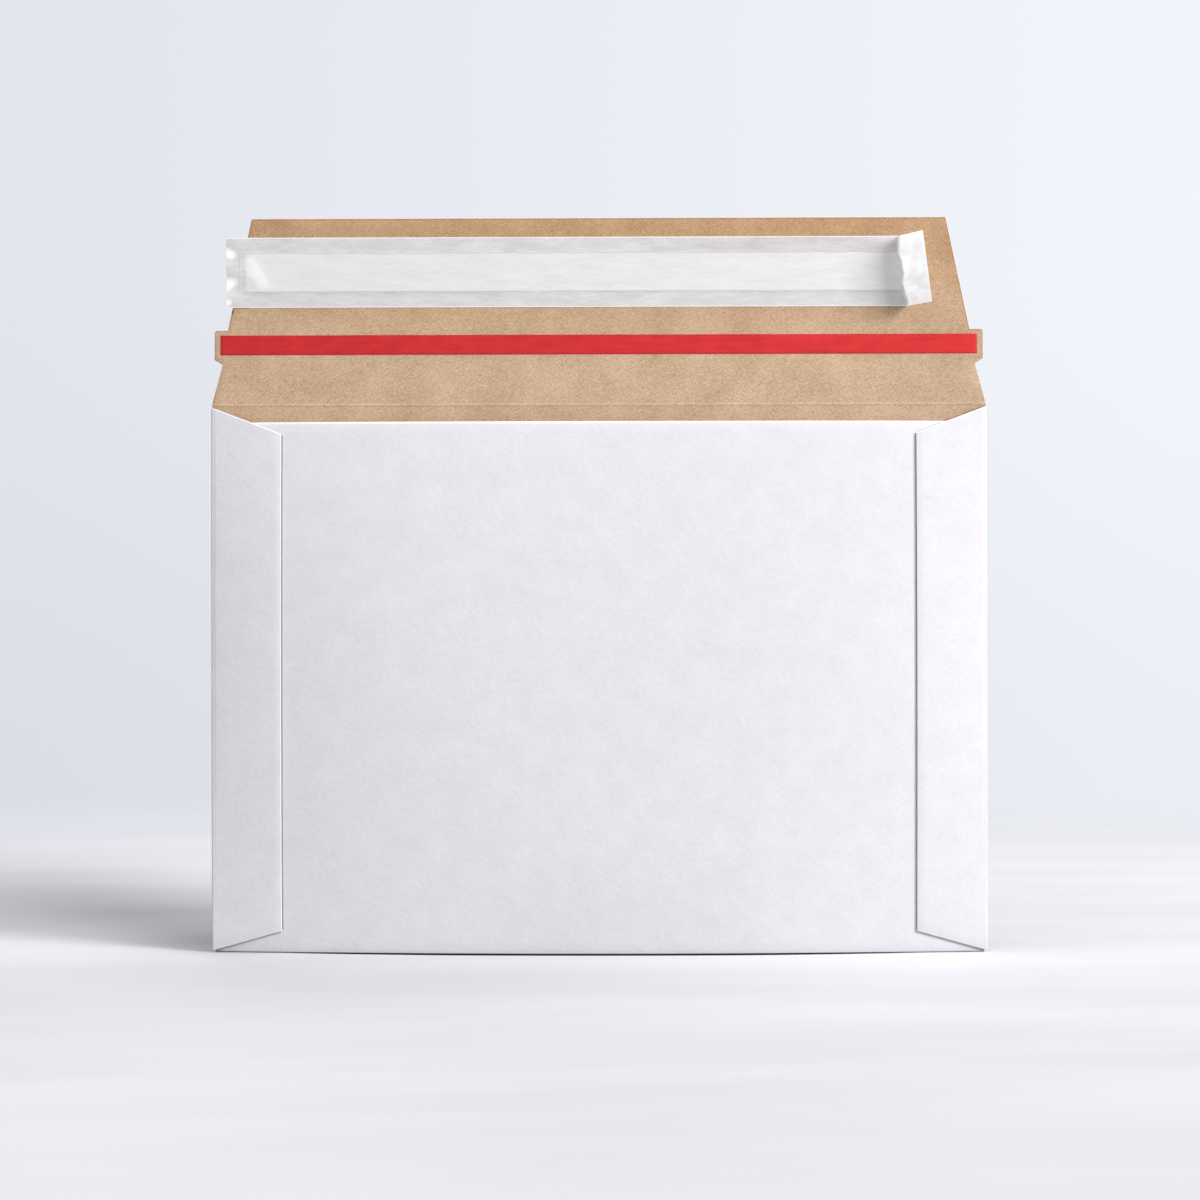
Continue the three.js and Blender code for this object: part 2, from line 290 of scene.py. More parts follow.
def spring_off(side, inwards):
    """How far a side flap stands off the panel: most at its fold, where the board springs back."""
    spring = LEFT_SPRING if side < 0 else RIGHT_SPRING
    return spring * (1 - inwards / SIDE_FLAP_FLAT)


def squared(value):
    """Turns a sine or cosine of a round fold into that of a fold pressed flat, with tighter corners."""
    return math.copysign(abs(value) ** FOLD_SQUARENESS, value)


def crease_ridge(z):
    """The scored line: pressed in from the white side, it stands up as a ridge on the kraft side."""
    share = (z - CREASE_HEIGHT) / RIDGE_REACH
    return RIDGE_HEIGHT * (0.5 + 0.5 * math.cos(math.pi * share)) if abs(share) < 1 else 0


print("side flaps end", round(slanted_height(SIDE_FOLD_LOW, SIDE_FLAP_FLAT) / MM, 1), "mm above the floor")

# %% Work out where a point of the blank goes
def folded_place(across, along):
    """Where a point of the flat blank is once the envelope is folded."""
    if along < -FOOT_ARC:
        z = FOOT_RADIUS - along - FOOT_ARC
        x = across * FRONT_SCALE
        return Vector((x, CREASE_Y - front_forward(x, z), z))
    if along < 0:
        angle = -along / FOOT_BEND
        x = across * (1 + (FRONT_SCALE - 1) * angle / math.pi)
        y = CREASE_Y - back_forward(x, FOOT_RADIUS) - FOOT_BEND * (1 - math.cos(angle))
        return Vector((x, y, FOOT_RADIUS - FOOT_BEND * math.sin(angle)))
    z = FOOT_RADIUS + along
    if z > SIDE_FOLD_HIGH:
        return Vector((across, CREASE_Y - crease_ridge(z), z))
    side = math.copysign(1, across)
    beyond = abs(across) - BACK_HALF
    if beyond <= 0:
        return Vector((across, CREASE_Y - back_forward(across, z), z))
    if beyond <= SIDE_ARC:
        angle = beyond / SIDE_BEND
        x = BACK_HALF + SIDE_BEND * squared(max(math.sin(angle), 0))
        depth = SIDE_BEND + spring_off(side, 0) / 2
        forward = back_forward(BACK_HALF, z) + depth * (1 - squared(math.cos(angle)))
        return Vector((side * x, CREASE_Y - forward, z))
    inwards = beyond - SIDE_ARC
    x = side * (BACK_HALF - inwards)
    height = slanted_height(z, inwards)
    forward = front_forward(x, height) + BOARD + SEAM_GAP + spring_off(side, inwards)
    return Vector((x, CREASE_Y - forward, height))


print("the mouth's middle goes to", tuple(round(v, 4) for v in folded_place(0, MOUTH_ALONG)))

# %% [markdown]
# ## The board, cut flat
# The blank could be cut from a plane with many bisections, but a grid with its lines where the folds and
# edges are gives the same cuts at once, and clean rows to bend. The cells that the die cuts away are
# deleted, the closure flap's rows are narrowed, the tear tabs are extruded from its edge, and the corners
# are rounded by a bevel.

# %% Cut the blank
NEAR_FOLD = 3 * MM
right_columns = lines_through(
    BETWEEN_FLAPS,
    (BACK_HALF, 8),
    (SIDE_FOLD_END, 16),
    (SIDE_FOLD_END + NEAR_FOLD, 5),
    (SIDE_FLAP_EDGE, 8),
)[1:]
middle_columns = steps(-BETWEEN_FLAPS, BETWEEN_FLAPS, 44)
columns = [-x for x in reversed(right_columns)] + middle_columns + right_columns

# Heights up the back panel, close together at the crease
RIDGE_STEPS = (-0.7, -0.45, -0.2, 0, 0.25, 0.5, 0.75, 1.2)
BEND_REACH = 7.2 * MM
heights = lines_through(
    SIDE_FOLD_LOW,
    (CREASE_HEIGHT - BEND_REACH, 40),
    (SIDE_FOLD_HIGH, 9),
    *((CREASE_HEIGHT + step * MM, 1) for step in RIDGE_STEPS),
    (CREASE_HEIGHT + BEND_REACH, 9),
    (CREASE_HEIGHT + TAB_NOTCH_LOW, 4),
    (CREASE_HEIGHT + TAB_LOW, 1),
    (CREASE_HEIGHT + TAB_HIGH, 4),
    (CREASE_HEIGHT + FLAP_HEIGHT, 12),
)
front_and_foot = lines_through(MOUTH_ALONG, (-FOOT_ARC, 44), (0, 8))
board = grid("board_sheet", columns, front_and_foot + [height - FOOT_RADIUS for height in heights])


def cut_away(face):
    """Cells beside the front panel, the foot fold and the closure flap."""
    across, along = abs(face.center.x), face.center.y
    beside = along < SIDE_FOLD_LOW - FOOT_RADIUS or along > SIDE_FOLD_HIGH - FOOT_RADIUS
    return across > BACK_HALF and beside


count = choose(board, "FACE", cut_away)
bpy.ops.mesh.delete(type="FACE")
put_down()
print("cut away", count, "cells, left", len(board.data.polygons))


# %% Narrow the closure flap
SLIVER = 0.2 * MM


def flap_edge(height):
    """Half the closure flap's width at a height above the crease."""
    return HALF_WIDTH - FLAP_TOP_INSET * height / FLAP_HEIGHT


def above_crease(vertex):
    """The height of a point of the flat blank above the crease."""
    return vertex.co.y + FOOT_RADIUS - CREASE_HEIGHT


# The flap tapers to its top, and below the tabs its sides are cut in a little further
for vertex in board.data.vertices:
    height = above_crease(vertex)
    if height > SLIVER - SIDE_FLAP_TOP_START:
        edge = flap_edge(max(height, 0))
        if 0 < height < TAB_NOTCH_LOW + SLIVER:
            edge -= TAB_NOTCH_DEPTH * height / TAB_NOTCH_LOW
        vertex.co.x *= edge / BACK_HALF
print("the flap's top is", round(2 * flap_edge(FLAP_HEIGHT) / MM, 1), "mm wide")

# %% Draw out the tear tabs
SIDE_BAND, SHORTEST_EDGE, DRAWN_OUT, SAME_POINT = 1.5 * MM, 0.5 * MM, 3 * MM, 0.02 * MM


def near(value, place):
    """True within a hundredth of a millimetre."""
    return abs(value - place) < 0.01 * MM


def beside_tab(edge, side):
    """An edge of the closure flap's slanted side, at the height of the tear tab."""
    ends = [board.data.vertices[i] for i in edge.vertices]
    low, high = sorted(above_crease(end) for end in ends)
    outer = all(side * end.co.x > flap_edge(above_crease(end)) - SIDE_BAND for end in ends)
    at_tab = TAB_NOTCH_LOW - SLIVER < low and high < TAB_HIGH + SLIVER
    return outer and at_tab and high - low > SHORTEST_EDGE


for side in (-1, 1):
    known = len(board.data.vertices)
    count = choose(board, "EDGE", lambda edge: beside_tab(edge, side))
    bpy.ops.mesh.extrude_region_move(TRANSFORM_OT_translate={"value": (side * DRAWN_OUT, 0, 0)})
    put_down()
    for vertex in board.data.vertices[known:]:
        height = above_crease(vertex)
        tip = flap_edge(height) - TAB_NOTCH_DEPTH if near(height, TAB_NOTCH_LOW) else TAB_TIP
        vertex.co.x = side * tip
    print("drew out a tab from", count, "edges")

choose(board, "VERT", lambda vertex: True)
bpy.ops.mesh.remove_doubles(threshold=SAME_POINT)
put_down()

# %% Round the corners of the tabs and of the closure flap
def round_corners(half, height, radius):
    """Rounds the two corners of the flat sheet at this half width and height above the crease."""
    count = choose(
        board,
        "VERT",
        lambda vertex: near(abs(vertex.co.x), half) and near(above_crease(vertex), height),
    )
    bpy.ops.mesh.bevel(affect="VERTICES", offset=radius, segments=4, offset_type="OFFSET")
    put_down()
    print("rounded", count, "corners", round(height / MM, 1), "mm above the crease")


round_corners(TAB_TIP, TAB_HIGH, TAB_CORNER)
round_corners(flap_edge(FLAP_HEIGHT), FLAP_HEIGHT, FLAP_CORNER)
keep_flat_places(board)

# %% [markdown]
# ## The board, folded and given its thickness
# Each point of the blank moves to its folded place. Solidify then gives the sheet its thickness and sorts
# its faces by material: kraft on the inside, white on the outside, and the raw cut edge between them. A
# fine bevel crushes the cut edges a little, as a die does, so that they catch the light.

# %% Fold the board
CRUSHED_EDGE = 0.2 * MM
move_points(board, folded_place)
for _ in ("inside", "outside", "cut edge"):
    board.data.materials.append(None)
finish_with(
    board,
    "SOLIDIFY",
    thickness=BOARD,
    offset=0,
    use_even_offset=True,
    use_quality_normals=True,
    material_offset=1,
    material_offset_rim=2,
)
soften_edges(board, CRUSHED_EDGE, 3)
smooth(board)
print("board has", len(board.data.polygons), "faces")

# %% [markdown]
# ## The release liner
# The liner is a strip of thin silicone paper over the glue on the flap. It lies highest over the glue and
# sinks to the board along both edges. Its torn left end is crinkled and hangs past the flap's slanted
# edge, and its right end has been picked up: it bends forward and stands off the flap. Crinkles in paper
# this thin are real folds, so they are moved into the mesh instead of being left to a bump texture.

# %% Name the liner's sizes
LINER_WIDTH, LINER_LOW, LINER_THICKNESS = 30.3 * MM, 42.3 * MM, 0.12 * MM
LINER_LEFT = 6.4 * MM - HALF_WIDTH
LINER_CLEARANCE, GLUE_RISE, SINK_WIDTH = 0.04 * MM, 0.18 * MM, 1.3 * MM
GLUE_LOW, GLUE_WIDTH = 49.3 * MM, 16.2 * MM
GLUE_HIGH = GLUE_LOW + GLUE_WIDTH
GLUE_LEFT = 15 * MM - HALF_WIDTH
LIFT_LOW = HALF_WIDTH - 35 * MM
LIFT_HIGH = LIFT_LOW - 3.8 * MM
LIFT_RADIUS, LIFT_ANGLE, LIFT_LENGTH = 1.6 * MM, math.radians(60), 17.1 * MM
LIFT_ARC = LIFT_RADIUS * LIFT_ANGLE
FLAT_LENGTH = LIFT_LOW - LINER_LEFT
LINER_LENGTH = FLAT_LENGTH + LIFT_ARC + LIFT_LENGTH
TORN_REACH, TORN_SWING, TORN_CRINKLE = 13 * MM, 0.248 * MM, 0.6 * MM
PUCKER_ALONG, PUCKER_WIDTH, PUCKER_HEIGHT, PUCKER_LEAN = 13 * MM, 3.2 * MM, 0.3 * MM, 0.45
print("the liner is", round(LINER_LENGTH / MM, 1), "mm long")

# %% Work out the liner's unevenness
def wave(waves, share, start=0.0):
    """A sine with so many waves over a share that goes from 0 to 1."""
    return math.sin(2 * math.pi * waves * share + start)


def ease(value, start, end):
    """Rises smoothly from 0 at start to 1 at end."""
    share = min(max((value - start) / (end - start), 0), 1)
    return share * share * (3 - 2 * share)


def over_glue(x, up):
    """1 over the glue strip and 0 beside it."""
    height = LINER_LOW + up
    from_below = ease(height, GLUE_LOW - SINK_WIDTH, GLUE_LOW)
    from_above = ease(-height, -GLUE_HIGH - SINK_WIDTH, -GLUE_HIGH)
    return from_below * from_above * ease(x, GLUE_LEFT - 2 * MM, GLUE_LEFT)


def torn_end(along, up):
    """How far the torn end's edge runs in and out, and how far its crinkles stand forward."""
    fade = max(0, 1 - along / TORN_REACH)
    share = up / LINER_WIDTH
    swing = wave(3, share, 0.6) + 0.5 * wave(7, share, 2.0)
    crinkle = 0.5 - 0.5 * math.cos(2 * math.pi * 2.3 * share + 1.2 + along * 150)
    return TORN_SWING * fade * swing, TORN_CRINKLE * fade * crinkle


def pucker(along, up):
    """A soft fold that leans across the strip where the glue starts."""
    middle = PUCKER_ALONG - (up - LINER_WIDTH / 2) * PUCKER_LEAN
    across = math.exp(-(((along - middle) / PUCKER_WIDTH) ** 2))
    from_edge = min(up, LINER_WIDTH - up)
    return PUCKER_HEIGHT * across * ease(from_edge, 4 * MM, 12 * MM)


def wrinkle(along, up):
    """The fine unevenness of the strip on the glue."""
    place = Vector((along / (11 * MM), up / (4.5 * MM), 0.7))
    return 0.07 * MM * (1 + noise.noise(place)) + 0.03 * MM * noise.noise(2.7 * place)


print("the pucker stands", round(pucker(PUCKER_ALONG, LINER_WIDTH / 2) / MM, 2), "mm forward")

# %% Work out where a point of the liner is
def liner_place(along, up):
    """Where a point of the liner is: along its length from the torn end, and up its width."""
    share = up / LINER_WIDTH
    beyond = along - FLAT_LENGTH
    loose = max(0, beyond - LIFT_ARC) / LIFT_LENGTH
    fold_wave = 0.42 * MM * wave(2.2, share, 0.5) + 0.2 * MM * wave(5.1, share)
    lift_start = LIFT_LOW + (LIFT_HIGH - LIFT_LOW) * share + fold_wave * (1 - loose)
    z = CREASE_HEIGHT + LINER_LOW + up
    sideways, crinkle = torn_end(along, up)
    x = LINER_LEFT + min(along, FLAT_LENGTH) * (lift_start - LINER_LEFT) / FLAT_LENGTH + sideways
    rest = LINER_CLEARANCE + LINER_THICKNESS / 2 + GLUE_RISE * over_glue(x, up)
    forward = rest + wrinkle(along, up) + crinkle + pucker(along, up)
    if along <= FLAT_LENGTH:
        return Vector((x, FLAP_FACE_Y - forward, z))
    angle = min(beyond / LIFT_RADIUS, LIFT_ANGLE)
    straight = loose * LIFT_LENGTH
    dent = noise.noise(Vector((straight / (7 * MM), up / (8 * MM), 3.1)))
    curl = MM * (1.2 * loose * (1 - loose) + 0.5 * dent * math.sin(math.pi * loose))
    x = lift_start + LIFT_RADIUS * math.sin(angle) + straight * math.cos(angle) - curl * math.sin(angle)
    out = LIFT_RADIUS * (1 - math.cos(angle)) + straight * math.sin(angle) + curl * math.cos(angle)
    return Vector((x, FLAP_FACE_Y - forward - out, z))


# %% Make the liner
NEAR_LIFT = 6 * MM
liner_columns = lines_through(
    0,
    (TORN_REACH, 26),
    (FLAT_LENGTH - NEAR_LIFT, 150),
    (FLAT_LENGTH, 6),
    (FLAT_LENGTH + LIFT_ARC, 10),
    (LINER_LENGTH, 14),
)
liner = grid("liner_strip", liner_columns, steps(0, LINER_WIDTH, 60))
keep_flat_places(liner)
move_points(liner, liner_place)
finish_with(liner, "SOLIDIFY", thickness=LINER_THICKNESS, offset=0)
smooth(liner, 50)
print("liner has", len(liner.data.polygons), "faces")

# %% [markdown]
# ## The tear tape
# The tape is a thin red film with a slightly rounded edge, laid from tab to tab. A grid bends over its
# width into a shallow crown with the edges rolled down to the board, and waves a little along its length.

# %% Make the tape
TAPE_WIDTH, TAPE_LOW, TAPE_END_INSET, TAPE_FILM = 8.5 * MM, 21.85 * MM, 2.6 * MM, 0.12 * MM
TAPE_CROWN, TAPE_WAVE, TAPE_WANDER, TAPE_EDGE = 0.05 * MM, 0.03 * MM, 0.05 * MM, 0.04 * MM
TAPE_HALF = TAB_TIP - TAPE_END_INSET
tape = grid("tear_tape_film", steps(-TAPE_HALF, TAPE_HALF, 160), steps(0, TAPE_WIDTH, 12))
keep_flat_places(tape)


def tape_place(x, up):
    """Where a point of the tape lies on the flap."""
    share = 2 * up / TAPE_WIDTH - 1
    crown = TAPE_CROWN * (1 - share**6)
    raised = TAPE_WAVE * (1 + noise.noise(Vector((x / (26 * MM), up / (9 * MM), 4.2))))
    wander = TAPE_WANDER * noise.noise(Vector((x / (18 * MM), 2.2, share)))
    forward = TAPE_FILM / 2 + crown + raised
    return Vector((x, FLAP_FACE_Y - forward, CREASE_HEIGHT + TAPE_LOW + up + wander))


move_points(tape, tape_place)
finish_with(tape, "SOLIDIFY", thickness=TAPE_FILM, offset=0)
soften_edges(tape, TAPE_EDGE, 2)
smooth(tape)
print("tape has", len(tape.data.polygons), "faces")

# %% [markdown]
# ## A small language for finishes
# A finish is a tree of shader nodes. Writing node after node hides what is meant, so a value on the
# surface gets a small class of its own: adding, multiplying and comparing such values adds the Math nodes
# for it. Every other node comes from one method, which takes the node's type, its options and what goes
# into its sockets.

# %% A value that changes over a surface
class Field:
    """A value that changes over a surface. Python's operators add Math nodes to its finish."""

    def __init__(self, finish, socket):
        self.finish = finish
        self.socket = socket

    def math(self, operation, *values):
        return self.finish.add("ShaderNodeMath", {"operation": operation}, dict(enumerate(values)))

    def __add__(self, other):
        return self.math("ADD", self, other)

    __radd__ = __add__

    def __sub__(self, other):
        return self.math("SUBTRACT", self, other)

    def __rsub__(self, other):
        return self.math("SUBTRACT", other, self)

    def __mul__(self, other):
        return self.math("MULTIPLY", self, other)

    __rmul__ = __mul__

    def __truediv__(self, other):
        return self.math("DIVIDE", self, other)

    def size(self):
        return self.math("ABSOLUTE", self)

    def least(self, other):
        return self.math("MINIMUM", self, other)

    def most(self, other):
        return self.math("MAXIMUM", self, other)


# %% A finish and its nodes
class Finish:
    """A material, or the world, that is being painted."""

    def __init__(self, name, tree=None):
        self.name = name
        if tree is None:
            self.material = bpy.data.materials.new(name)
            self.material.use_nodes = True
            tree = self.material.node_tree
        self.tree = tree
        self.tree.nodes.clear()

    def add(self, kind, options=None, sockets=None, output=0):
        """Adds a node, sets its options, then fills or links its sockets, and gives one output."""
        node = self.tree.nodes.new(kind)
        for name, value in (options or {}).items():
            setattr(node, name, value)
        for name, value in (sockets or {}).items():
            if isinstance(value, Field):
                self.tree.links.new(value.socket, node.inputs[name])
            else:
                node.inputs[name].default_value = value
        return Field(self, node.outputs[output])

    def sheet(self):
        """The place on the flat sheet, in metres."""
        return self.add("ShaderNodeUVMap", {"uv_map": "sheet"})

    def parts(self, place):
        """The X, Y and Z of a place."""
        return [self.add("ShaderNodeSeparateXYZ", None, {0: place}, output=i) for i in range(3)]

    def grained(self, place, length, width, turn=0.0):
        """A place on which a noise of scale 1 has clouds this long and wide, turned by an angle."""
        options = {"vector_type": "TEXTURE"}
        sockets = {"Vector": place, "Rotation": (0, 0, turn), "Scale": (length, width, 1)}
        return self.add("ShaderNodeMapping", options, sockets)

    def noise(self, place, scale, detail, roughness=0.55):
        """Cloudy noise from 0 to 1, with so many clouds to a metre."""
        sockets = {"Vector": place, "Scale": scale, "Detail": detail, "Roughness": roughness}
        return self.add("ShaderNodeTexNoise", {"noise_dimensions": "3D"}, sockets)

    def tone(self, *layers):
        """Noises added up round a middle tone of 0.5, each with its own strength."""
        total = 0.5
        for layer, strength in layers:
            total = total + (layer - 0.5) * strength
        return total

    def within(self, value, low, high, to_low=0.0, to_high=1.0):
        """Maps low to high smoothly onto to_low to to_high, and holds it there beyond them."""
        options = {"interpolation_type": "SMOOTHSTEP", "clamp": True}
        sockets = {0: value, 1: low, 2: high, 3: to_low, 4: to_high}
        return self.add("ShaderNodeMapRange", options, sockets)

    def line(self, value, middle, half_width, soft=0.3 * MM):
        """1 where the value is within a half width of the middle, with soft sides."""
        return 1 - self.within((value - middle).size(), half_width, half_width + soft)

    def blend(self, share, first, second, how="MIX"):
        """Mixes two colours by a share."""
        options = {"data_type": "RGBA", "blend_type": how, "clamp_result": False}
        sockets = {0: share}
        for index, colour in ((6, first), (7, second)):
            sockets[index] = colour if isinstance(colour, Field) else (*colour, 1)
        return self.add("ShaderNodeMix", options, sockets, output=2)

    def tinted(self, share, colour, tint):
        """A colour that is multiplied by a tint where the share is 1."""
        return self.blend(share, colour, self.blend(1.0, colour, tint, "MULTIPLY"))

    def bump(self, height, distance, strength):
        """The surface's normal over fine hills of this height."""
        sockets = {"Height": height, "Distance": distance, "Strength": strength}
        return self.add("ShaderNodeBump", None, sockets)

    def surface(self, **settings):
        """The shader itself. Names such as Base_Color stand for its sockets."""
        sockets = {name.replace("_", " "): value for name, value in settings.items()}
        return self.add("ShaderNodeBsdfPrincipled", None, sockets)

    def mixed(self, share, first, second):
        """Mixes two shaders by a share."""
        return self.add("ShaderNodeMixShader", None, {0: share, 1: first, 2: second})

    def report(self):
        """Prints how far the finish has grown."""
        print(self.name, "has", len(self.tree.nodes), "nodes")

    def show(self, shader):
        """Ends the tree with this shader and gives the material."""
        self.end("ShaderNodeOutputMaterial", shader)
        return self.material

    def end(self, kind, shader):
        node = self.tree.nodes.new(kind)
        self.tree.links.new(shader.socket, node.inputs["Surface"])


# %% [markdown]
# ## Kraft
# Kraft is unbleached wood fibre: a warm brown with fine dark and light fibres lying every way, and soft
# clouds where the pulp ran thicker. Layers of noise, stretched along the fibres or round for the clouds,
# are added up to one tone that picks the colour. It follows the flat sheet, so that it turns with the
# closure flap. Painted shade makes the kraft a little darker towards the right and deeper in colour
# towards the flap's free edge, and the die leaves a darker line round its outline.

# %% Mix the kraft's fibres
kraft = Finish("kraft_inside")
place = kraft.sheet()
clouds = kraft.noise(place, 55, 4, 0.6)
speckle = kraft.noise(place, 1300, 3, 0.7)
clumps = kraft.noise(place, 420, 3, 0.6)
fibres_right = kraft.noise(kraft.grained(place, 3.4 * MM, 0.55 * MM, 0.5), 1, 2)
fibres_left = kraft.noise(kraft.grained(place, 2.8 * MM, 0.6 * MM, -0.8), 1, 2)
layers = ((clouds, 0.8), (speckle, 1.45), (clumps, 0.3), (fibres_right, 0.8), (fibres_left, 0.7))
share = kraft.within(kraft.tone(*layers), 0.0, 1.0)
colour = kraft.blend(share, (0.505, 0.332, 0.200), (0.79, 0.582, 0.410))
flecks = kraft.within(kraft.noise(kraft.grained(place, 1.3 * MM, 0.7 * MM, 0.2), 1, 1), 0.67, 0.75)
colour = kraft.tinted(flecks * 0.7, colour, (0.62, 0.52, 0.44))
kraft.report()

# %% Paint shade on the kraft towards the right and the flap's free edge, and darken its outline
across, along, _ = kraft.parts(place)
above = along - CREASE_ALONG
# Painted shade: the kraft is a little darker towards the right.
towards_right = kraft.within(across, 110 * MM, 150 * MM)
colour = kraft.tinted(towards_right, colour, (0.93, 0.94, 0.95))
# Painted shade: the kraft deepens in colour towards the flap's free edge.
shade_towards_top = kraft.within(above, 8 * MM, FLAP_HEIGHT)
colour = kraft.tinted(shade_towards_top, colour, (0.86, 0.755, 0.63))
in_flap = HALF_WIDTH - above * (FLAP_TOP_INSET / FLAP_HEIGHT) - across.size()
in_flap = in_flap.least(FLAP_HEIGHT - above)
in_tab = (TAB_TIP - across.size()).least((above - TAB_LOW).least(TAB_HIGH - above))
outline = kraft.line(in_flap.most(in_tab), 0.45 * MM, 0.1 * MM) * kraft.within(above, 0, 2 * MM)
colour = kraft.tinted(outline, colour, (0.84, 0.79, 0.72))
kraft.report()

# %% Paint the crease's highlight and shade, a shadow under the liner's end and the shade behind the right side flap
def slanted_end(from_middle):
    """The height of the side flaps' slanted upper end, at a distance from the envelope's middle."""
    slope = (SIDE_FLAP_TOP_DROP - SIDE_FLAP_TOP_START) / SIDE_FLAP_FLAT
    return SIDE_FOLD_HIGH - (BACK_HALF - from_middle) * slope


# Painted shade and highlight along the crease: a dark line just below it and a light one just above.
crease_shade_line = kraft.line(above, -0.4 * MM, 0.05 * MM)
crease_highlight_line = kraft.line(above, 0.5 * MM, 0.1 * MM)
colour = kraft.tinted(crease_shade_line, colour, (0.96, 0.95, 0.94))
colour = kraft.tinted(crease_highlight_line, colour, (1.10, 1.11, 1.13))
# Painted shadow: a small dark spot on the flap's left edge, just under the liner's overhanging end.
SHADOW_SPOT_HEIGHT = 40.5 * MM
on_left_edge = kraft.line(in_flap, 0.2 * MM, 0.5 * MM, 0.2 * MM) * kraft.within(across, SLIVER, -SLIVER)
shadow_spot = on_left_edge * kraft.line(above, SHADOW_SPOT_HEIGHT, 0.7 * MM, 0.4 * MM)
colour = kraft.tinted(shadow_spot, colour, (0.28, 0.30, 0.34))
behind_end = kraft.line(above + CREASE_HEIGHT - slanted_end(across.size()), 0.0, 0.5 * MM, 0.2 * MM)
behind_end = behind_end * kraft.within(across, HALF_WIDTH - 25 * MM, HALF_WIDTH - 15 * MM)
colour = kraft.tinted(behind_end, colour, (0.66, 0.60, 0.55))
tooth = kraft.bump(speckle * 0.5 + fibres_right * 0.5 + fibres_left * 0.4 + clouds, 0.08 * MM, 0.6)
kraft_inside = kraft.show(
    kraft.surface(
        Base_Color=colour,
        Roughness=kraft.within(speckle, 0.2, 0.8, 0.94, 0.8),
        Normal=tooth,
        Specular_IOR_Level=0.25,
    )
)
kraft.report()

# %% [markdown]
# ## The white side and the cut edge
# The white side has the same fibre under a bleached skin, so it shows only as faint streaks and a fine
# tooth. Its pressed edges get a painted highlight, lighter in colour and with a faint glow. The gaps round
# the glued side flaps are finer than the mesh and the lamps can draw, so their shade is painted as thin
# dark lines in the colour, placed by the same sizes as the folds. Painted shade also darkens the lower
# middle of the front panel and the underside of the foot.

# %% Mix the white side's faint fibres
white = Finish("white_outside")
place = white.sheet()
clouds = white.noise(place, 75, 5, 0.65)
fibres = white.noise(white.grained(place, 3.2 * MM, 1.2 * MM, 0.62), 1, 4, 0.7)
mottle = white.noise(place, 430, 4, 0.7)
grain = white.noise(place, 1500, 3, 0.65)
share = white.within(white.tone((clouds, 0.9), (fibres, 0.5), (mottle, 0.5), (grain, 0.7)), 0.0, 1.0)
colour = white.blend(share, (0.81, 0.80, 0.845), (0.915, 0.905, 0.945))
white.report()

# %% Paint highlights on its pressed edges
across, along, _ = white.parts(place)
mouth_highlight = 1 - white.within(along - MOUTH_ALONG, 0.5 * MM, 1.2 * MM)
past_fold = white.within(across.size(), SIDE_FOLD_END, SIDE_FOLD_END + SLIVER)
slanted_highlight = 1 - white.within(SIDE_FOLD_HIGH - FOOT_RADIUS - along, 0.3 * MM, 0.65 * MM)
upright_highlight = 1 - white.within(SIDE_FLAP_EDGE - across.size(), 0.1 * MM, 0.3 * MM)
edge_highlight = mouth_highlight.most(past_fold * slanted_highlight).most(upright_highlight)
colour = white.blend(edge_highlight, colour, (0.98, 0.98, 0.985))
white.report()

# %% Paint shade in the thin gaps round the side flaps on the front panel
up_front = FOOT_RADIUS - FOOT_ARC - along
from_middle = across.size() * FRONT_SCALE
on_right = white.within(across, BETWEEN_FLAPS, BETWEEN_FLAPS + MM)
on_left = white.within(-1 * across, BETWEEN_FLAPS, BETWEEN_FLAPS + MM)

# Painted shade: a dark line in the gap beside each side flap's inner edge.
gap_middle = HALF_WIDTH - SIDE_FLAP_WIDTH - 0.2 * MM
gap_half = white.within(across, -SLIVER, SLIVER, 0.4 * MM, 0.1 * MM)
low_end, high_end = SIDE_FLAP_FOOT_RISE, CREASE_HEIGHT - SIDE_FLAP_TOP_DROP
between_ends = white.within(up_front, low_end, low_end + MM)
between_ends = between_ends * (1 - white.within(up_front, high_end - MM, high_end))
shade_beside_flap = white.line(from_middle, gap_middle, gap_half, 0.15 * MM) * between_ends
colour = white.tinted(shade_beside_flap, colour, (0.50, 0.51, 0.54))

# Painted shade: a grey line under the right side flap's slanted upper end.
shade_over_end = white.line(up_front - slanted_end(from_middle), 0.25 * MM, 0.1 * MM, 0.15 * MM) * on_right
colour = white.tinted(shade_over_end, colour, (0.72, 0.72, 0.73))

# Painted shade: a dark line under the left side flap's slanted lower end.
foot_slope = (SIDE_FLAP_FOOT_RISE - SIDE_FLAP_FOOT_START) / SIDE_FLAP_FLAT
foot_end = SIDE_FLAP_FOOT_START + (BACK_HALF - from_middle) * foot_slope
shade_below_flap = white.line(up_front - foot_end, -0.15 * MM, 0.2 * MM, 0.15 * MM)
shade_below_flap = shade_below_flap * white.within(up_front, 0, MM) * on_left
colour = white.tinted(shade_below_flap, colour, (0.45, 0.45, 0.46))
print("the gap runs", round(gap_middle / MM, 1), "mm from the middle")

# %% Paint shade on the lower middle and the foot, and finish the white side
# Painted shade: the lower middle of the front panel is a little darker.
shade_low_middle = white.line(across, 10 * MM, 20 * MM, 70 * MM) * white.within(up_front, 60 * MM, 5 * MM)
colour = white.tinted(shade_low_middle, colour, (0.935, 0.935, 0.93))
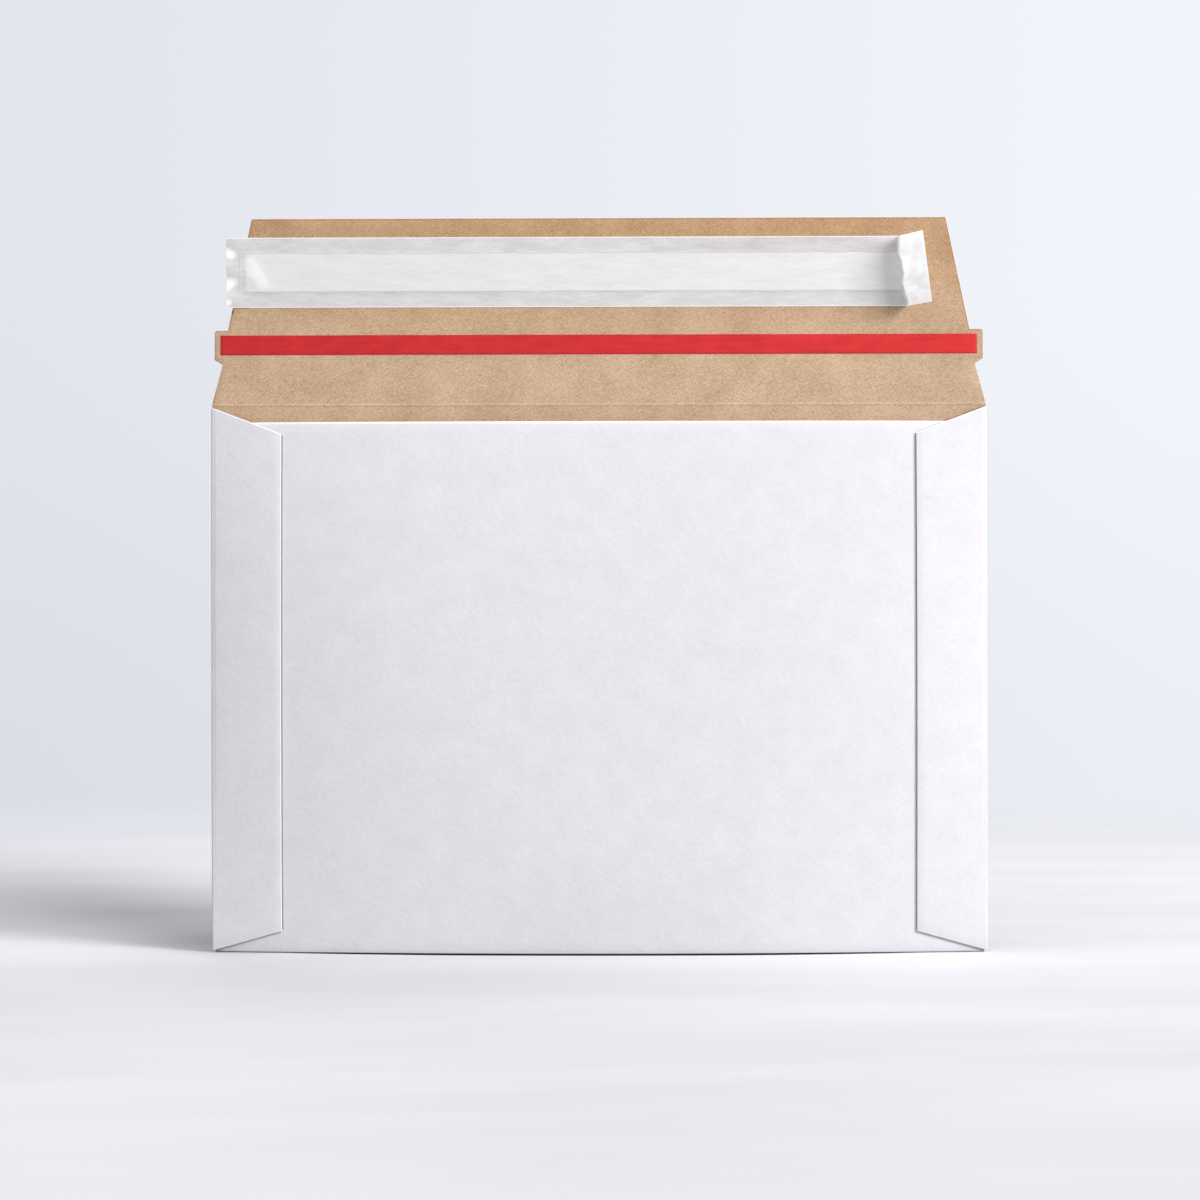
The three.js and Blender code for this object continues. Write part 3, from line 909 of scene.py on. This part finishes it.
# Painted shade: a nearly black line along the underside of the foot fold, fainter at its corners.
shade_under_foot = white.line(along, -FOOT_ARC / 2, 0.45 * MM, 0.15 * MM)
shade_under_foot = shade_under_foot * white.within(across.size(), 110 * MM, 145 * MM, 1.0, 0.1)
colour = white.tinted(shade_under_foot, colour, (0.16, 0.16, 0.17))
tooth = white.bump(clouds * 1.9 + fibres * 0.6 + mottle * 0.8 + grain * 0.3, 0.16 * MM, 0.55)
white_outside = white.show(
    white.surface(
        Base_Color=colour,
        Roughness=white.within(fibres, 0.2, 0.8, 0.62, 0.78),
        Normal=tooth,
        Specular_IOR_Level=0.3,
        # The painted highlight on the pressed edges also glows faintly.
        Emission_Color=white.blend(edge_highlight, (0, 0, 0), (0.10, 0.10, 0.10)),
        Emission_Strength=1.0,
    )
)
white.report()

# %% Paint the cut edge
cut = Finish("cut_edge")
layers = cut.noise(cut.sheet(), 700, 3, 0.6)
colour = cut.blend(layers, (0.84, 0.81, 0.78), (0.97, 0.96, 0.96))
cut_edge = cut.show(
    cut.surface(Base_Color=colour, Roughness=0.9, Normal=cut.bump(layers, 0.05 * MM, 0.6))
)

for index, material in enumerate((kraft_inside, white_outside, cut_edge)):
    board.data.materials[index] = material
print("board materials", [material.name for material in board.data.materials])

# %% [markdown]
# ## The liner's paper
# The liner is glazed paper that lets some light through: over the white glue it looks white, and beside
# it the brown board greys it. Painted highlights stand for the shine of crumpled paper at the torn end,
# over a pucker and along the edges, painted shade marks a crease near the torn end, and thin lines run
# along the glue. A part of the shader is translucent, most of all on the lifted end, which has light
# behind it, and a painted glow there stands for the light that comes through.

# %% Grey the liner beside the glue
glazed = Finish("glazed_paper")
place = glazed.sheet()
along, up, _ = glazed.parts(place)
mottle = glazed.noise(glazed.grained(place, 15 * MM, 4 * MM), 1, 4, 0.65)
drawn = glazed.noise(glazed.grained(place, 6 * MM, 0.5 * MM), 1, 3, 0.6)
fibre = glazed.noise(place, 900, 3, 0.6)
glue_middle, glue_half = GLUE_LOW - LINER_LOW + GLUE_WIDTH / 2, GLUE_WIDTH / 2
from_glue = (up - glue_middle).size() + (mottle - 0.5) * (1.8 * MM) + (drawn - 0.5) * (0.8 * MM)
backed = 1 - glazed.within(from_glue, glue_half - 0.3 * MM, glue_half + 0.3 * MM)
backed = backed * glazed.within(along, 5 * MM, 10 * MM)
lifted = glazed.within(along, FLAT_LENGTH - 0.2 * MM, FLAT_LENGTH + 0.4 * MM)
whiteness = 1 - (1 - backed) * (1 - lifted)
tone = glazed.tone((mottle, 1.0), (drawn, 0.7), (fibre, 0.4))
greyed = glazed.blend(glazed.within(tone, 0.1, 0.9), (0.71, 0.69, 0.695), (0.92, 0.905, 0.91))
bright = glazed.blend(glazed.within(tone, 0.0, 0.8), (0.865, 0.86, 0.86), (0.97, 0.97, 0.97))
upper_right = glazed.within(along, 150 * MM, 250 * MM) * glazed.within(up, 22 * MM, 24 * MM)
greyed = glazed.tinted(upper_right, greyed, (0.93, 0.91, 0.91))
colour = glazed.blend(whiteness, greyed, bright)
glazed.report()

# %% Paint the liner's highlights, the shade of its crease and the lines along the glue
def patch(along_middle, up_middle, long, wide, lean=0.0):
    """A soft uneven patch on the strip, given in millimetres, that may lean to the right."""
    from_up = up - up_middle * MM + (mottle - 0.5) * (5 * MM)
    from_along = along - along_middle * MM - from_up * lean + (drawn - 0.5) * (3 * MM)
    sideways, upwards = from_along / (long * MM), from_up / (wide * MM)
    return 1 - glazed.within(sideways * sideways + upwards * upwards, 0.0, 1.0)


# Painted highlights: shine on the crumpled torn end and a fainter one over the pucker.
shine = patch(0.6, 23.4, 4.6, 3.4, -0.4).most(patch(0.4, 10.2, 5.0, 3.6, 0.4))
shine = shine.most(patch(0.2, 2.0, 2.6, 2.4))
shine = shine.most(patch(12.5, 15.0, 4.6, 9.5, -0.55) * 0.55)
glue_line = glazed.line(from_glue, glue_half + 0.25 * MM, 0.1 * MM, 0.4 * MM)
glue_line = glue_line * (1 - lifted) * glazed.within(along, 6 * MM, 9 * MM)
# Painted shade: a thin dark crease across the strip near its torn end.
end_crease_shade = glazed.line(along - (drawn - 0.5) * MM, 5.6 * MM, 0.1 * MM, 0.3 * MM)
end_crease_shade = end_crease_shade * glazed.line(up, 16 * MM, 7.5 * MM, 2 * MM)
# Painted highlights along both long edges and at the far end of the lifted part.
long_edge_highlights = 1 - glazed.within(up.least(LINER_WIDTH - up), 0.2 * MM, 0.55 * MM)
edge_highlight = long_edge_highlights.most(glazed.within(along, LINER_LENGTH - 0.8 * MM, LINER_LENGTH - 0.4 * MM))
colour = glazed.tinted(glue_line, colour, (0.91, 0.905, 0.91))
colour = glazed.tinted(end_crease_shade, colour, (0.90, 0.90, 0.91))
colour = glazed.blend(shine.most(edge_highlight), colour, (0.97, 0.97, 0.97))
glazed.report()

# %% Let light through the liner, and paint a glow on its lifted end and highlights
THROUGH_COLOUR = (0.94, 0.94, 0.94, 1)
creases = glazed.bump(mottle * 1.2 + drawn * 0.5 + fibre * 0.15, 0.22 * MM, 0.6)
towards_fold = (up - LINER_WIDTH / 2) * 8 - (along - FLAT_LENGTH - LIFT_LENGTH / 2) * 6
away_from_fold = glazed.within(mottle + towards_fold, 0.35, 0.62)
glow_colour = glazed.blend(away_from_fold, (0.08, 0.175, 0.225), (0.33, 0.44, 0.505))
stands_off = glazed.within(along, FLAT_LENGTH + 0.3 * MM, FLAT_LENGTH + 2 * MM)
# Painted glow: the lifted end, the shine and the edges give off light of their own.
painted_glow = glazed.blend(stands_off, (0, 0, 0), glow_colour)
painted_glow = glazed.blend((shine * 0.9).most(edge_highlight * 0.5), painted_glow, (0.20, 0.20, 0.20), "ADD")
paper = glazed.surface(
    Base_Color=colour,
    Roughness=glazed.within(mottle, 0.2, 0.8, 0.36, 0.55),
    Normal=creases,
    Specular_IOR_Level=0.45,
    Emission_Color=painted_glow,
    Emission_Strength=1.0,
)
through = glazed.add("ShaderNodeBsdfTranslucent", None, {"Color": THROUGH_COLOUR, "Normal": creases})
liner.data.materials.append(glazed.show(glazed.mixed(0.1 + 0.6 * stands_off, paper, through)))
glazed.report()

# %% [markdown]
# ## Tape and glue
# The tape is a red film with faint lines drawn along it, slightly deeper borders and painted light that
# makes it lighter to the right. The glue under the liner is a clear rubbery bead and the two seams are
# thin dried glue.

# %% Paint the tape
film = Finish("red_film")
place = film.sheet()
across, up, _ = film.parts(place)
drawn = film.noise(film.grained(place, 40 * MM, 0.4 * MM), 1, 2)
mottle = film.noise(film.grained(place, 9 * MM, 5 * MM), 1, 3)
# Painted light: the across term makes the tape lighter to the right and darker to the left.
tone = film.tone((drawn, 0.8), (mottle, 0.7)) + across * 0.8
colour = film.blend(film.within(tone, 0.1, 0.9), (0.56, 0.020, 0.023), (0.80, 0.036, 0.038))
border = 1 - film.within(up.least(TAPE_WIDTH - up), 0.2 * MM, 0.9 * MM)
colour = film.tinted(border, colour, (0.88, 0.80, 0.80))
red_film = film.show(
    film.surface(
        Base_Color=colour,
        Roughness=film.within(mottle, 0.2, 0.8, 0.38, 0.5),
        Normal=film.bump(drawn * 0.3 + mottle, 0.05 * MM, 0.5),
        Specular_IOR_Level=0.3,
    )
)
tape.data.materials.append(red_film)
film.report()


# %% Paint the glue
def glue_finish(name, dark, light, roughness):
    """Glue with small lighter bubbles in it."""
    glue = Finish(name)
    cells = glue.noise(glue.add("ShaderNodeTexCoord", output="Object"), 480, 3)
    colour = glue.blend(cells, dark, light)
    shine = glue.within(cells, 0.3, 0.7, roughness, roughness + 0.12)
    soft = glue.bump(cells, 0.08 * MM, 0.6)
    return glue.show(glue.surface(Base_Color=colour, Roughness=shine, Normal=soft))


strip_glue = glue_finish("strip_glue", (0.78, 0.76, 0.70), (0.88, 0.87, 0.83), 0.2)
seam_glue = glue_finish("seam_glue", (0.60, 0.50, 0.30), (0.74, 0.65, 0.42), 0.35)
for node, material in (
    ("adhesive_strip", strip_glue),
    ("glue_seam_left", seam_glue),
    ("glue_seam_right", seam_glue),
):
    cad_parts[node].data.materials.clear()
    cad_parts[node].data.materials.append(material)
    print(node, "is painted with", material.name)

# %% [markdown]
# ## The floor
# The envelope stands on a pale floor that fades into a pale surrounding, so no horizon shows. The floor
# is a wide disc whose colour does part of the light's work: painted light and shade make it a little
# brighter or darker by place, a painted shadow deepens the soft shadow that runs back from the left
# corner of the foot, and a painted contact shadow makes it nearly black where the foot touches it.

# %% Lay the floor
FLOOR_RADIUS = 3.2
put_down()
bpy.ops.mesh.primitive_circle_add(vertices=128, radius=FLOOR_RADIUS, fill_type="NGON")
floor = bpy.context.object
floor.name = "floor"
print("the floor is", 2 * FLOOR_RADIUS, "m across")

# %% Colour the floor
ground = Finish("pale_floor")
place = ground.add("ShaderNodeTexCoord", output="Object")
across, away, _ = ground.parts(place)
streaks = ground.noise(ground.grained(place, 0.35, 0.09, 0.12), 1, 4, 0.55)
colour = ground.blend(ground.within(streaks, 0.2, 0.8), (0.78, 0.775, 0.81), (0.87, 0.865, 0.90))
# Painted light and shade: lighter behind the foot, darker just in front of it, most on its left, lighter
# towards the front left and a little darker far in front.
floor_light_and_shade = ground.within(away, -0.14, 0.01, 1.0, 1.13) + ground.within(away, 0.1, 0.4, 0.0, 0.07)
near_foot = ground.within(away, -0.15, -0.045) * ground.within(across, -0.25, -0.13)
floor_light_and_shade = floor_light_and_shade - near_foot * ground.within(across, -0.04, 0.17, 0.19, 0.05)
front_left = ground.within(away, -0.12, -0.25) * ground.within(across, 0.02, -0.15)
floor_light_and_shade = floor_light_and_shade + front_left * 0.09 - ground.within(away, -0.2, -0.28) * 0.035
colour = ground.blend(1.0, colour, floor_light_and_shade, "MULTIPLY")
ground.report()

# %% Deepen the shadow that runs back from the left foot corner
SHADOW_X, SHADOW_Y = -0.16, 0.02
BACK_SHARE, LEFT_SHARE, SHADOW_LEAN = 0.83, 0.56, 0.13
SHADOW_HALF_WIDTH, SHADOW_SPREAD, SHADOW_LENGTH = 0.035, 0.3, 0.7
from_corner, behind_corner = across - SHADOW_X, away - SHADOW_Y
along_shadow = behind_corner * BACK_SHARE - from_corner * LEFT_SHARE
beside_shadow = from_corner * BACK_SHARE + behind_corner * LEFT_SHARE - SHADOW_LEAN * along_shadow
width_here = SHADOW_HALF_WIDTH + SHADOW_SPREAD * along_shadow
shade = 1 - ground.within(beside_shadow.size() / width_here, 0.0, 1.0)
shade = shade * ground.within(along_shadow, -0.04, 0.01)
shade = shade * ground.within(along_shadow, 0.0, SHADOW_LENGTH, 1.0, 0.0)
shade = shade * (1 - 0.3 * ground.line(along_shadow, 0.095, 0.015, 0.05))
colour = ground.tinted(shade, colour, (0.66, 0.66, 0.67))
ground.report()

# %% Paint a contact shadow on the floor where the foot touches it
foot_line = CREASE_Y - FOOT_BEND + FOOT_CORNER_SET_BACK
bow = 1 - (across / HALF_WIDTH) * (across / HALF_WIDTH)
beside_foot = (away - foot_line + bow * FOOT_BOW).size()
reach = ground.within(across.size(), 60 * MM, 140 * MM, 3.2 * MM, 0.8 * MM)
contact_shadow = 1 - ground.within(beside_foot - reach, 0.0, 1.5 * MM)
contact_shadow = contact_shadow * (1 - ground.within(across.size(), 120 * MM, 140 * MM))
colour = ground.tinted(contact_shadow, colour, (0.03, 0.03, 0.033))
ground.report()

# %% Finish the floor
# The camera sees a pale floor, but the light that comes back from it is that of a grey one, and nearly
# black beside the foot, which paints shade on the foot's underside
shade_under_foot = 1 - ground.within(beside_foot, MM, 3 * MM)
bounce = ground.blend(shade_under_foot, (0.46, 0.46, 0.47), (0.04, 0.04, 0.04))
colour = ground.blend(ground.add("ShaderNodeLightPath", output="Is Camera Ray"), bounce, colour)
matt = ground.surface(Base_Color=colour, Roughness=0.9, Specular_IOR_Level=0.1)
distance = ground.add("ShaderNodeVectorMath", {"operation": "LENGTH"}, {0: place}, output="Value")
fade = ground.within(distance, 0.3, 1.15)
floor.data.materials.append(
    ground.show(ground.mixed(fade, matt, ground.add("ShaderNodeBsdfTransparent")))
)
ground.report()

# %% [markdown]
# ## Surroundings and lamps
# What the camera sees behind the floor is a pale room, brighter to the right, and the light that the room
# gives is set apart from it by the kind of ray. A soft lamp from the right and front gives the panels
# their slow change from bright to grey and throws a wide soft shadow to the left. A wide lamp above lifts
# the floor and the upper edges, and two weak ones behind lighten the back.

# %% Fill the surroundings
world = bpy.data.worlds.new("pale_room")
world.use_nodes = True
bpy.context.scene.world = world
room = Finish("pale_room", world.node_tree)
rightwards, _, upwards = room.parts(room.add("ShaderNodeTexCoord", output="Generated"))
towards_right = room.within(rightwards, -0.35, 0.35)
seen_colour = room.blend(towards_right, (0.76, 0.768, 0.835), (0.908, 0.928, 0.98))
low_down = 1 - room.within(upwards, -0.08, 0.14)
seen_colour = room.tinted(low_down, seen_colour, (0.93, 0.935, 0.94))
seen = room.add("ShaderNodeBackground", None, {"Color": seen_colour, "Strength": 1.0})
lighting = room.add("ShaderNodeBackground", None, {"Color": (0.97, 0.98, 1.0, 1), "Strength": 0.335})
camera_ray, glossy_ray, through_ray = (
    room.add("ShaderNodeLightPath", output=name)
    for name in ("Is Camera Ray", "Is Glossy Ray", "Is Transmission Ray")
)
shown = camera_ray.most(glossy_ray).most(through_ray)
room.end("ShaderNodeOutputWorld", room.mixed(shown, lighting, seen))
room.report()


# %% Place the lamps
def soft_lamp(name, place, aim, size, watts, colour=(1.0, 1.0, 1.0)):
    """A square soft lamp that faces a point."""
    data = bpy.data.lights.new(name, "AREA")
    data.shape = "SQUARE"
    data.size = size
    data.energy = watts
    data.color = colour
    lamp = bpy.data.objects.new(name, data)
    lamp.location = place
    lamp.rotation_euler = (Vector(aim) - Vector(place)).to_track_quat("-Z", "Y").to_euler()
    lamp.visible_camera = False
    bpy.context.scene.collection.objects.link(lamp)
    print(name, "gives", watts, "W")


soft_lamp("key_lamp", (2.1, -1.364, 1.16), (0, 0, 0.15), 1.0, 71, (1.0, 0.99, 0.985))
soft_lamp("top_lamp", (-0.2, -0.5, 1.4), (0, 0, 0.1), 1.0, 4.6)
soft_lamp("back_lamp", (0.9, 0.85, 1.0), (0.2, 0.2, 0), 0.6, 1.8)
soft_lamp("low_lamp", (-0.5, 1.6, 0.32), (0, 0, 0.17), 0.8, 5.5)
bpy.context.scene.view_settings.view_transform = "Standard"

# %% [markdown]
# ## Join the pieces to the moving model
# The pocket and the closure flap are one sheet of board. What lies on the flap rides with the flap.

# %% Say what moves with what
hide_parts("board_pocket", "closure_flap")
CREASE_HEIGHT - BEND_REACH
CREASE_HEIGHT + BEND_REACH
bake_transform(board)
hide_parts("release_liner")
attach(liner, "flap")
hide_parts("tear_tape")
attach(tape, "flap")
print("the board bends over", round(2 * BEND_REACH / MM, 1), "mm at the crease")
